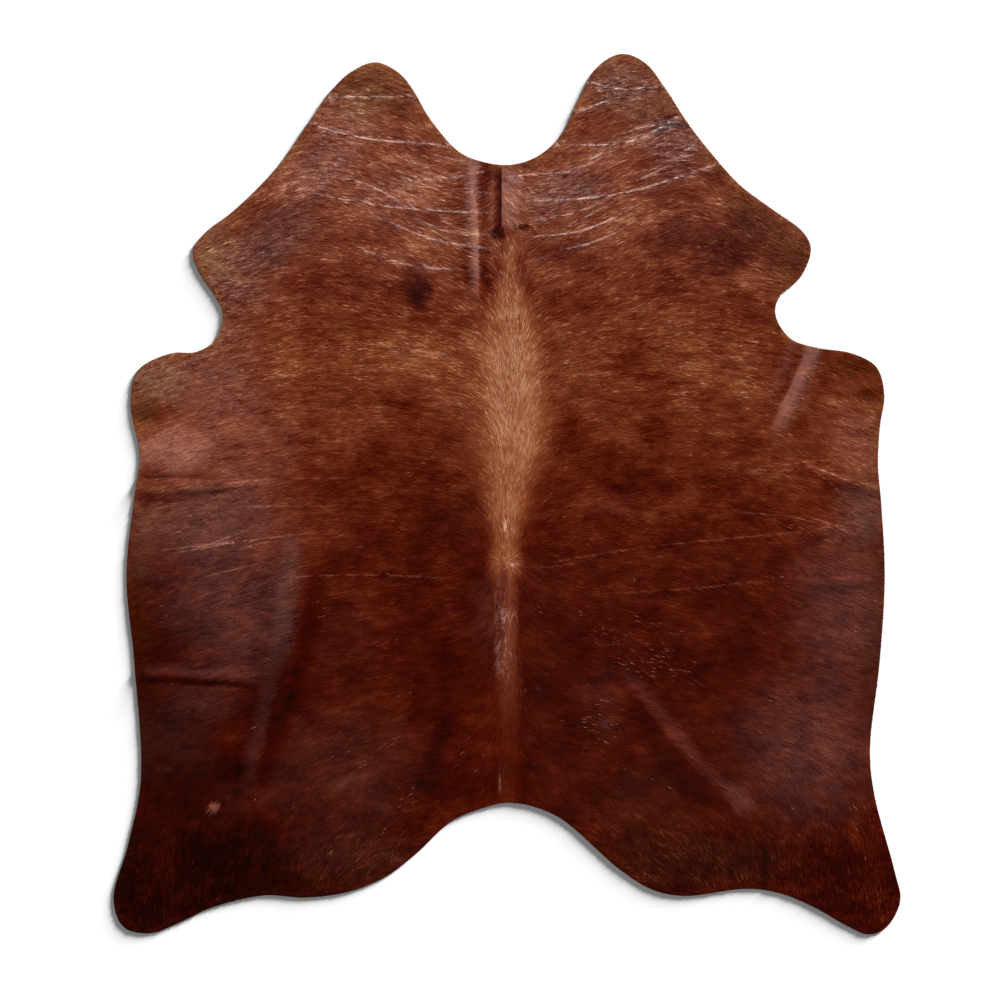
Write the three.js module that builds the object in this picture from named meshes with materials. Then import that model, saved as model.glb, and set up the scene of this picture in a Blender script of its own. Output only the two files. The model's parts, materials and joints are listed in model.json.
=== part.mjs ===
// A cowhide rug: one whole tanned skin with the hair on, lying open on the floor, coat side up.
// Millimetres. X runs across the back, Y from the tail to the neck, Z up from the floor.
import * as THREE from "three";
import { ConvexHull } from "three/addons/math/ConvexHull.js";

// Driving dimensions
const HIDE_LENGTH = 2100; // from the tips of the hind shanks to the tip of the neck
const BACK_THICKNESS = 4.4; // leather and the coat lying on it, along the spine
const FLANK_THICKNESS = 3.4; // the same at the belly edges, where a skin is thinner
const RIM_THICKNESS = 1.8; // the cut edge: bare leather
const RIM_WIDTH = 7; // how far in from the cut edge the coat reaches its full height
const RIM_CREASE = 0.4; // share of a crease's height that is left at the cut edge

// Spacing of the mesh's points
const RIM_STEP = 20; // along the cut edge
const FOLD_STEP = 26; // along a fold
const TOP_STEP = 64; // over the plain coat side
const FLOOR_STEP = 92; // over the plain flesh side
const FIELD_CLEARANCE = 0.5; // of the field's step, between its points and the folds'
const MIN_GAP = 3.5; // between any two points
const WAVE_ROWS = [0, 0.5, -0.5, 1, -1]; // across a wave, in half widths from its crest
const CREASE_ROWS = [0, 1, -1]; // across a crease
const CURVE_STEPS = 4000; // for measuring along the cut edge

// The shape that all the folds share
const TAPER = 0.3; // share of a fold's length over which each end dies away
const FLARE = 0.5; // how much wider a fold is where it dies away
const SWELL = 0.15; // share by which its height swells and sinks along it
const SWELL_TURNS = 11; // radians of that swell over its length

// The cut edge, clockwise from the bottom of the neck notch, seen from above
const OUTLINE = {
  neckNotch: [[-112, 815], [-55, 792], [2, 785], [55, 797], [100, 825]],
  rightNeckLobe: [[135, 865], [168, 935], [217, 1020], [275, 1050], [330, 1028], [377, 969]],
  rightNeckEdge: [[430, 887], [485, 816], [555, 738], [632, 680]],
  rightLegBulge: [[706, 625], [725, 585], [700, 517]],
  rightArmpit: [[651, 472], [640, 430], [675, 372]],
  rightShoulder: [[735, 350], [825, 335], [882, 302], [900, 235], [890, 165]],
  rightFlank: [[885, 70], [893, -25], [901, -200], [889, -400], [866, -610]],
  rightShank: [[876, -715], [925, -900], [938, -970], [904, -1034], [862, -1050], [814, -1031]],
  rightRump: [[728, -983], [651, -952], [575, -941], [420, -958], [346, -943], [270, -896]],
  tailNotch: [[117, -767], [10, -736], [-65, -751], [-135, -782]],
  leftRump: [[-208, -850], [-284, -909], [-370, -946], [-475, -962], [-580, -957]],
  leftShank: [[-704, -986], [-780, -1021], [-850, -1047], [-913, -1033], [-938, -968], [-903, -835]],
  leftFlank: [[-873, -680], [-888, -406], [-907, -196], [-888, -5], [-876, 91]],
  leftShoulder: [[-897, 215], [-880, 295], [-800, 336], [-742, 339]],
  leftArmpit: [[-695, 368], [-678, 430], [-697, 472]],
  leftLegBulge: [[-735, 530], [-749, 580], [-718, 625]],
  leftNeckEdge: [[-655, 673], [-549, 778], [-475, 882]],
  leftNeckLobe: [[-413, 969], [-370, 1008], [-313, 1030], [-258, 1005], [-227, 969], [-181, 892]],
};

// Soft waves where the skin lifts off the floor. One that runs off the edge ends outside it.
const WAVES = [
  { name: "neck pipe", from: [-90, 830], via: [-79, 618], to: [-74, 440], width: 28, height: 4 },
  { name: "shoulder pipe", from: [765, 430], via: [690, 243], to: [620, 118], width: 50, height: 6 },
  { name: "left flank", from: [-470, -90], via: [-508, -360], to: [-606, -710], width: 84, height: 8 },
  { name: "right rump", from: [262, -396], via: [413, -592], to: [565, -750], width: 70, height: 7 },
  { name: "left rump", from: [-116, -505], via: [-150, -620], to: [-190, -725], width: 66, height: 3 },
  { name: "left edge fold", from: [-1000, 22], via: [-780, 22], to: [-560, 33], width: 42, height: 5 },
  { name: "left hip fold", from: [-1000, -430], via: [-760, -436], to: [-560, -446], width: 46, height: 5 },
  { name: "right edge fold", from: [970, -20], via: [830, 20], to: [700, 66], width: 34, height: 4 },
  { name: "right belly fold", from: [980, -210], via: [830, -207], to: [690, -224], width: 40, height: 3.5 },
];

// Narrow creases of the skin, on the coat side alone. A negative height is a groove.
const CREASES = [
  { name: "neck slit", from: [-17, 830], via: [-17, 720], to: [-17, 610], width: 9, height: -1.8 },
  { name: "slit foot", from: [-40, 624], via: [12, 631], to: [62, 640], width: 9, height: -1.2 },
  { name: "left lobe", from: [-480, 947], via: [-291, 947], to: [-180, 950], width: 8, height: 0.9 },
  { name: "left neck 1", from: [-500, 892], via: [-332, 847], to: [-100, 830], width: 9, height: 1.4 },
  { name: "left neck 2", from: [-260, 747], via: [-148, 752], to: [-40, 773], width: 8, height: 1 },
  { name: "left neck 3", from: [-460, 716], via: [-255, 682], to: [-25, 670], width: 9, height: 1.3 },
  { name: "left neck 4", from: [-420, 764], via: [-322, 733], to: [-240, 690], width: 8, height: 0.9 },
  { name: "left neck 5", from: [-325, 667], via: [-172, 606], to: [-20, 582], width: 9, height: 1.3 },
  { name: "left neck 6", from: [-225, 660], via: [-136, 624], to: [-30, 619], width: 8, height: 0.9 },
  { name: "left neck 7", from: [-355, 589], via: [-231, 544], to: [-100, 534], width: 8, height: 1 },
  { name: "right lobe 1", from: [150, 1000], via: [270, 966], to: [420, 982], width: 8, height: 1.1 },
  { name: "right lobe 2", from: [110, 890], via: [222, 932], to: [278, 966], width: 8, height: 1 },
  { name: "right neck 1", from: [80, 835], via: [293, 841], to: [460, 935], width: 10, height: 1.5 },
  { name: "right neck 2", from: [-5, 757], via: [91, 764], to: [205, 771], width: 9, height: 1.2 },
  { name: "right neck 3", from: [158, 770], via: [217, 809], to: [270, 846], width: 8, height: 1 },
  { name: "right neck 4", from: [30, 697], via: [270, 716], to: [540, 800], width: 10, height: 1.5 },
  { name: "right neck 5", from: [44, 650], via: [131, 663], to: [218, 688], width: 8, height: 0.8 },
  { name: "right neck 6", from: [36, 611], via: [186, 630], to: [322, 695], width: 9, height: 1.3 },
  { name: "right neck 7", from: [120, 578], via: [217, 604], to: [295, 643], width: 8, height: 1 },
  { name: "right neck 8", from: [290, 738], via: [384, 785], to: [480, 862], width: 8, height: 0.9 },
  { name: "left shoulder", from: [-680, 26], via: [-518, 36], to: [-365, 38], width: 8, height: 1.1 },
  { name: "left rib 1", from: [-650, -29], via: [-494, -29], to: [-325, -31], width: 7, height: 0.8 },
  { name: "left rib 2", from: [-830, -133], via: [-625, -112], to: [-425, -87], width: 9, height: 1.2 },
  { name: "left rib 3", from: [-545, -198], via: [-327, -193], to: [-125, -201], width: 9, height: 1.3 },
  { name: "left hip", from: [-960, -446], via: [-733, -455], to: [-570, -468], width: 12, height: -1.3 },
  { name: "right shoulder", from: [535, 48], via: [639, 48], to: [712, 34], width: 8, height: 1 },
  { name: "right rib 1", from: [550, -42], via: [687, -57], to: [810, -86], width: 9, height: 1.2 },
  { name: "right rib 2", from: [40, -173], via: [341, -126], to: [760, -84], width: 9, height: 1.3 },
  { name: "right rib 3", from: [183, -240], via: [413, -227], to: [640, -204], width: 8, height: 1 },
  { name: "right rump", from: [608, -830], via: [611, -892], to: [611, -990], width: 9, height: -1.2 },
];

// The cut edge as one closed curve, brought to HIDE_LENGTH and centred on its own box
const drawn = new THREE.CatmullRomCurve3(
  Object.values(OUTLINE).flat().map(([x, y]) => new THREE.Vector3(x, y, 0)),
  true,
  "centripetal",
);
drawn.arcLengthDivisions = CURVE_STEPS;
const drawnRim = drawn.getSpacedPoints(Math.round(drawn.getLength() / RIM_STEP)).slice(1);
const drawnBox = new THREE.Box3().setFromPoints(drawnRim);
const drawnCentre = drawnBox.getCenter(new THREE.Vector3());
const drawnScale = HIDE_LENGTH / (drawnBox.max.y - drawnBox.min.y);

function toHide(x, y) {
  return new THREE.Vector2(x - drawnCentre.x, y - drawnCentre.y).multiplyScalar(drawnScale);
}

const rim = drawnRim.map((p) => toHide(p.x, p.y));
const halfWidth = Math.max(...rim.map((p) => p.x));

function insideRim(p) {
  let inside = false;
  rim.forEach((a, i) => {
    const b = rim[(i + 1) % rim.length];
    const crosses = a.y > p.y !== b.y > p.y;
    if (crosses && p.x < a.x + ((p.y - a.y) * (b.x - a.x)) / (b.y - a.y)) {
      inside = !inside;
    }
  });
  return inside;
}

// The nearest place on an open or closed chain of points: how far off, and how far along from 0 to 1
function nearestOn(chain, closed, p) {
  const count = closed ? chain.length : chain.length - 1;
  const best = { distance: Infinity, along: 0 };
  for (let i = 0; i < count; i += 1) {
    const a = chain[i];
    const b = chain[(i + 1) % chain.length];
    const side = b.clone().sub(a);
    const t = THREE.MathUtils.clamp(p.clone().sub(a).dot(side) / side.lengthSq(), 0, 1);
    const distance = p.distanceTo(side.multiplyScalar(t).add(a));
    if (distance < best.distance) {
      best.distance = distance;
      best.along = (i + t) / count;
    }
  }
  return best;
}

function withChain(fold) {
  const ends = [fold.from, fold.via, fold.to].map(([x, y]) => toHide(x, y));
  const curve = new THREE.SplineCurve(ends);
  const stations = Math.ceil(curve.getLength() / FOLD_STEP);
  return { ...fold, chain: curve.getSpacedPoints(stations) };
}

const waves = WAVES.map(withChain);
const creases = CREASES.map(withChain);

// Height of a set of folds over a point: a rounded section that dies away at both ends
function heightOf(folds, p) {
  let height = 0;
  for (const fold of folds) {
    const { distance, along } = nearestOn(fold.chain, false, p);
    const ends = THREE.MathUtils.smoothstep(Math.min(along, 1 - along), 0, TAPER);
    const offset = distance / ((fold.width / 2) * (1 + FLARE * (1 - ends)));
    if (offset < 1) {
      const section = 0.5 + 0.5 * Math.cos(Math.PI * offset);
      const swell = 1 + SWELL * Math.sin(SWELL_TURNS * along + fold.width);
      height += fold.height * section * ends * swell;
    }
  }
  return height;
}

const fleshSide = (p) => heightOf(waves, p);

function coatSide(p) {
  const inFromRim = nearestOn(rim, true, p).distance / RIM_WIDTH;
  const full = THREE.MathUtils.lerp(BACK_THICKNESS, FLANK_THICKNESS, Math.abs(p.x) / halfWidth);
  const thickness = THREE.MathUtils.lerp(RIM_THICKNESS, full, Math.min(inFromRim, 1));
  return fleshSide(p) + thickness + heightOf(creases, p) * Math.min(RIM_CREASE + inFromRim, 1);
}

// Points over the hide, inside the cut edge: the rows across each fold, then an even field
function addPoint(points, p) {
  const clear = points.every((q) => q.distanceToSquared(p) > MIN_GAP ** 2);
  if (clear && insideRim(p) && nearestOn(rim, true, p).distance > RIM_WIDTH + MIN_GAP) {
    points.push(p);
  }
}

function addFoldRows(points, fold, rows) {
  fold.chain.forEach((p, i) => {
    const before = fold.chain[Math.max(i - 1, 0)];
    const after = fold.chain[Math.min(i + 1, fold.chain.length - 1)];
    const along = after.clone().sub(before).normalize();
    const across = new THREE.Vector2(-along.y, along.x);
    for (const row of rows) {
      addPoint(points, p.clone().addScaledVector(across, (row * fold.width) / 2));
    }
  });
}

function addField(points, step) {
  const reach = Math.ceil(HIDE_LENGTH / step);
  for (let j = -reach; j <= reach; j += 1) {
    for (let i = -reach; i <= reach; i += 1) {
      // each point is a little off its place, so that no four lie on one circle
      const stray = new THREE.Vector2((i * 7 + j * 3) % 5, (i * 2 + j * 5) % 7);
      const p = new THREE.Vector2((i + (j % 2) / 2) * step, j * step * Math.sqrt(0.75)).add(stray);
      if (points.every((q) => q.distanceTo(p) > step * FIELD_CLEARANCE)) {
        addPoint(points, p);
      }
    }
  }
}

function innerRim() {
  return rim.map((p, i) => {
    const before = rim[(i + rim.length - 1) % rim.length];
    const after = rim[(i + 1) % rim.length];
    const along = after.clone().sub(before).normalize();
    return p.clone().addScaledVector(new THREE.Vector2(along.y, -along.x), RIM_WIDTH);
  });
}

// Lifted onto a paraboloid, the lower side of the points' convex hull is their Delaunay mesh.
// It also spans the notches of the rim, and those triangles go.
function triangulate(points) {
  const index = new Map();
  points.forEach((p, i) => index.set(new THREE.Vector3(p.x, p.y, p.lengthSq() / HIDE_LENGTH), i));
  const hull = new ConvexHull().setFromPoints([...index.keys()]);
  const triangles = [];
  for (const face of hull.faces) {
    const edges = [face.edge, face.edge.next, face.edge.prev];
    const corners = edges.map((edge) => index.get(edge.head().point));
    const centre = new THREE.Vector2();
    corners.forEach((corner) => centre.addScaledVector(points[corner], 1 / 3));
    const inNotch = corners.every((corner) => corner < rim.length) && !insideRim(centre);
    if (face.normal.z < 0 && !inNotch) {
      triangles.push(corners);
    }
  }
  return triangles;
}

function hideGeometry() {
  const top = [...rim, ...innerRim()];
  const floor = [...rim];
  for (const wave of waves) {
    addFoldRows(top, wave, WAVE_ROWS);
    addFoldRows(floor, wave, WAVE_ROWS);
  }
  for (const crease of creases) {
    addFoldRows(top, crease, CREASE_ROWS);
  }
  addField(top, TOP_STEP);
  addField(floor, FLOOR_STEP);

  const positions = [];
  top.forEach((p) => positions.push(p.x, p.y, coatSide(p)));
  floor.forEach((p) => positions.push(p.x, p.y, fleshSide(p)));
  const faces = [];
  triangulate(top).forEach(([a, b, c]) => faces.push(a, c, b));
  triangulate(floor).forEach((corners) => faces.push(...corners.map((i) => i + top.length)));
  rim.forEach((p, i) => {
    const next = (i + 1) % rim.length;
    faces.push(i, next, top.length + i);
    faces.push(next, top.length + next, top.length + i);
  });

  const geometry = new THREE.BufferGeometry();
  geometry.setAttribute("position", new THREE.Float32BufferAttribute(positions, 3));
  geometry.setIndex(faces);
  geometry.computeVertexNormals();
  return geometry;
}

const coat = new THREE.MeshStandardMaterial({ color: 0x5c2616, roughness: 0.62, metalness: 0 });
const hide = new THREE.Mesh(hideGeometry(), coat);
hide.name = "hide";

const rug = new THREE.Group();
rug.add(hide);

export default rug;
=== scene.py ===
"""A cowhide rug lying on a pale floor, seen from straight above: the skin with its low waves and
creases, and the short coat of hair that lies on it.

Metres, with Z up, X across the back and Y from the tail to the neck.
"""
import json
import math

import bmesh
import bpy
import numpy as np
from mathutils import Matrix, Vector
from mathutils.geometry import delaunay_2d_cdt

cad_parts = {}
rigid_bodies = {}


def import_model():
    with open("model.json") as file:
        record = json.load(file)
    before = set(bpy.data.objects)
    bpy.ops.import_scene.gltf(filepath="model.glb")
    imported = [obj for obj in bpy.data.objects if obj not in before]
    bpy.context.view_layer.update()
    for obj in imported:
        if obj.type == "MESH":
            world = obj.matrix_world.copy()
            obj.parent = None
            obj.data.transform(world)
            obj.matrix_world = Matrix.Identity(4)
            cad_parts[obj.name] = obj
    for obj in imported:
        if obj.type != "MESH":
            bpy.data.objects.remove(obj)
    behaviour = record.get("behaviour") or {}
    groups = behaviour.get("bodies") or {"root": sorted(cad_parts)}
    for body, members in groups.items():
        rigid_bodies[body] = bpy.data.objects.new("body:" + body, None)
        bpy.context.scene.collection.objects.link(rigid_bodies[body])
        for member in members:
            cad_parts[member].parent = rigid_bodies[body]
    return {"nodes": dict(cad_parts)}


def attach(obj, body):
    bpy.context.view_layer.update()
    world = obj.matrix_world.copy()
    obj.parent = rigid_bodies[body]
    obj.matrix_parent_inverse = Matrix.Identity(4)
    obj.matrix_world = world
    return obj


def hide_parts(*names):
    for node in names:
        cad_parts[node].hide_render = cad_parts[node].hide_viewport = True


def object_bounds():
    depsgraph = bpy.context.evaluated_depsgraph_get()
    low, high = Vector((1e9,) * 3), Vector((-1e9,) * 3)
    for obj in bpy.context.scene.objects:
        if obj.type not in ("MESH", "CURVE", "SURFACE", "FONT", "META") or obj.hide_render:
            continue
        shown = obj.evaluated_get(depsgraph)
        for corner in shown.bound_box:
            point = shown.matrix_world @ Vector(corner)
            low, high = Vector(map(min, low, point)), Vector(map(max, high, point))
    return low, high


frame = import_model()
CAD_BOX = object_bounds()

bl_info = {
    "name": "Cowhide rug",
    "version": (1, 0, 0),
    "blender": (4, 5, 0),
    "location": "3D View > Sidebar > Rug",
    "description": "Builds a hair-on cowhide rug on its solid, and the floor that it lies on",
    "category": "Add Mesh",
}

NODE = "hide"
MM = 0.001

# How the photograph's pixels lie on the rug
PHOTO_SIDE = 1000
HIDE_TOP_PX = 54
HIDE_BOTTOM_PX = 934
HIDE_CENTRE_PX = (507, 494)
HIDE_LENGTH = CAD_BOX[1].y - CAD_BOX[0].y
PIXEL = HIDE_LENGTH / (HIDE_BOTTOM_PX - HIDE_TOP_PX)

# The solid's thickness, which the leather and the coat share
BACK_THICKNESS = 4.4 * MM
FLANK_THICKNESS = 3.4 * MM
RIM_THICKNESS = 1.8 * MM
RIM_WIDTH = 7 * MM

# The least leather that a groove leaves, and how much of the leather stands at the cut edge
LEAST_LEATHER = 0.6 * MM
LEATHER_AT_RIM = RIM_THICKNESS * 0.7

# How much of a wave's height is left at the cut edge, and how far in the waves are whole again
WAVE_AT_RIM = 0.3
WAVE_WHOLE = 80 * MM

# How the folds' height fades at their ends and swells along them
TAPER = 0.3
FLARE = 0.5
SWELL = 0.15
SWELL_TURNS = 11

# Soft waves where the skin lifts off the floor: name, three places, width and height, all in mm
WAVES = [
    ("neck pipe", (-90, 830), (-79, 618), (-74, 440), 28, 4),
    ("shoulder pipe", (765, 430), (690, 243), (620, 118), 50, 6),
    ("left flank", (-470, -90), (-508, -360), (-606, -710), 84, 8),
    ("right rump", (262, -396), (413, -592), (565, -750), 70, 7),
    ("left rump", (-116, -505), (-150, -620), (-190, -725), 66, 3),
    ("left edge fold", (-1000, 22), (-780, 22), (-560, 33), 42, 5),
    ("left hip fold", (-1000, -430), (-760, -436), (-560, -446), 46, 5),
    ("right edge fold", (970, -20), (830, 20), (700, 66), 34, 4),
    ("right belly fold", (980, -210), (830, -207), (690, -224), 40, 3.5),
]

# Narrow creases on the coat side alone, as the waves above. A negative height is a groove.
CREASES = [
    ("neck slit", (-17, 830), (-17, 720), (-17, 610), 9, -1.8),
    ("slit foot", (-40, 624), (12, 631), (62, 640), 9, -1.2),
    ("left lobe", (-480, 947), (-291, 947), (-180, 950), 8, 0.9),
    ("left neck 1", (-500, 892), (-332, 847), (-100, 830), 9, 1.4),
    ("left neck 2", (-260, 747), (-148, 752), (-40, 773), 8, 1),
    ("left neck 3", (-460, 716), (-255, 682), (-25, 670), 9, 1.3),
    ("left neck 4", (-420, 764), (-322, 733), (-240, 690), 8, 0.9),
    ("left neck 5", (-325, 667), (-172, 606), (-20, 582), 9, 1.3),
    ("left neck 6", (-225, 660), (-136, 624), (-30, 619), 8, 0.9),
    ("left neck 7", (-355, 589), (-231, 544), (-100, 534), 8, 1),
    ("right lobe 1", (150, 1000), (270, 966), (420, 982), 8, 1.1),
    ("right lobe 2", (110, 890), (222, 932), (278, 966), 8, 1),
    ("right neck 1", (80, 835), (293, 841), (460, 935), 10, 1.5),
    ("right neck 2", (-5, 757), (91, 764), (205, 771), 9, 1.2),
    ("right neck 3", (158, 770), (217, 809), (270, 846), 8, 1),
    ("right neck 4", (30, 697), (270, 716), (540, 800), 10, 1.5),
    ("right neck 5", (44, 650), (131, 663), (218, 688), 8, 0.8),
    ("right neck 6", (36, 611), (186, 630), (322, 695), 9, 1.3),
    ("right neck 7", (120, 578), (217, 604), (295, 643), 8, 1),
    ("right neck 8", (290, 738), (384, 785), (480, 862), 8, 0.9),
    ("left shoulder", (-680, 26), (-518, 36), (-365, 38), 8, 1.1),
    ("left rib 1", (-650, -29), (-494, -29), (-325, -31), 7, 0.8),
    ("left rib 2", (-830, -133), (-625, -112), (-425, -87), 9, 1.2),
    ("left rib 3", (-545, -198), (-327, -193), (-125, -201), 9, 1.3),
    ("left hip", (-960, -446), (-733, -455), (-570, -468), 12, -1.3),
    ("right shoulder", (535, 48), (639, 48), (712, 34), 8, 1),
    ("right rib 1", (550, -42), (687, -57), (810, -86), 9, 1.2),
    ("right rib 2", (40, -173), (341, -126), (760, -84), 9, 1.3),
    ("right rib 3", (183, -240), (413, -227), (640, -204), 8, 1),
    ("right rump", (608, -830), (611, -892), (611, -990), 9, -1.2),
]

# Finer wrinkles of the coat side, with the places in the photograph's pixels, and width and height in mm
WRINKLES = [
    ("left throat", (396, 154), (410, 162), (424, 167), 6, 0.5),
    ("left throat scuff", (362, 103), (358, 112), (350, 120), 7, 0.5),
    ("left poll 1", (462, 193), (480, 192), (496, 194), 6, 0.6),
    ("left poll 2", (462, 235), (480, 236), (498, 234), 6, 0.6),
    ("left poll 3", (420, 222), (440, 235), (464, 248), 6, 0.6),
    ("left poll 4", (438, 214), (452, 226), (472, 238), 6, 0.5),
    ("left poll 5", (428, 153), (446, 158), (468, 163), 6, 0.5),
    ("left wither", (330, 205), (350, 200), (378, 204), 6, 0.4),
    ("right throat 1", (606, 139), (638, 129), (664, 122), 7, 0.7),
    ("right throat 2", (638, 176), (668, 161), (700, 141), 7, 0.6),
    ("right poll 1", (572, 214), (596, 205), (622, 193), 6, 0.5),
    ("right poll 2", (558, 229), (588, 216), (618, 199), 7, 0.6),
    ("right poll 3", (664, 233), (690, 219), (714, 206), 6, 0.25),
    ("right wither 1", (533, 260), (544, 259), (556, 259), 5, 0.3),
    ("right wither 2", (532, 281), (544, 280), (556, 279), 5, 0.3),
    ("left crops", (380, 349), (420, 352), (462, 356), 7, 0.4),
    ("left elbow", (205, 490), (248, 485), (300, 481), 7, 0.7),
    ("left rib 4", (172, 554), (208, 547), (252, 540), 7, 1.1),
    ("left rib 6", (196, 549), (222, 540), (250, 529), 8, 1.0),
    ("left rib 7", (236, 551), (262, 543), (292, 541), 8, 1.0),
    ("left rib 5", (206, 577), (240, 568), (278, 559), 7, 0.5),
    ("right elbow 1", (800, 463), (832, 474), (866, 489), 9, 1.9),
    ("right elbow 2", (806, 466), (824, 478), (842, 495), 8, 1.6),
    ("right elbow 3", (776, 466), (806, 462), (846, 459), 9, 1.6),
    ("right elbow 4", (742, 472), (770, 470), (800, 471), 9, 1.5),
    ("right elbow 5", (764, 466), (782, 473), (796, 484), 8, 1.4),
    ("right rib 4", (800, 514), (824, 522), (850, 533), 9, 1.8),
    ("right rib 6", (812, 530), (828, 527), (846, 524), 8, 1.6),
    ("right rib 7", (606, 566), (640, 560), (676, 553), 6, 0.4),
    ("right rib 5", (524, 567), (556, 566), (590, 559), 7, 0.5),
    ("right rump 1", (664, 654), (694, 680), (732, 712), 6, 0.4),
    ("right rump 2", (612, 648), (640, 668), (668, 694), 6, 0.4),
    ("left rump 1", (310, 708), (340, 713), (372, 712), 6, 0.4),
    ("left shank", (152, 768), (166, 768), (180, 769), 6, 0.5),
]

# How pale the coat is, by the photograph's row: on the back, and what the left and right flanks add.
# 0 is nearly black, 0.3 mahogany, 0.6 chestnut and 1 cream.
BACK_TONES = [
    (60, 0.68, 0.00, 0.00),
    (200, 0.73, -0.04, -0.08),
    (290, 0.63, 0.05, -0.01),
    (340, 0.69, 0.04, -0.04),
    (390, 0.67, 0.02, -0.05),
    (440, 0.60, 0.12, 0.06),
    (470, 0.53, 0.12, 0.10),
    (560, 0.44, -0.02, 0.00),
    (650, 0.37, -0.06, 0.03),
    (740, 0.38, -0.11, 0.02),
    (830, 0.34, -0.19, 0.0),
    (930, 0.23, -0.16, 0.04),
]

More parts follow.
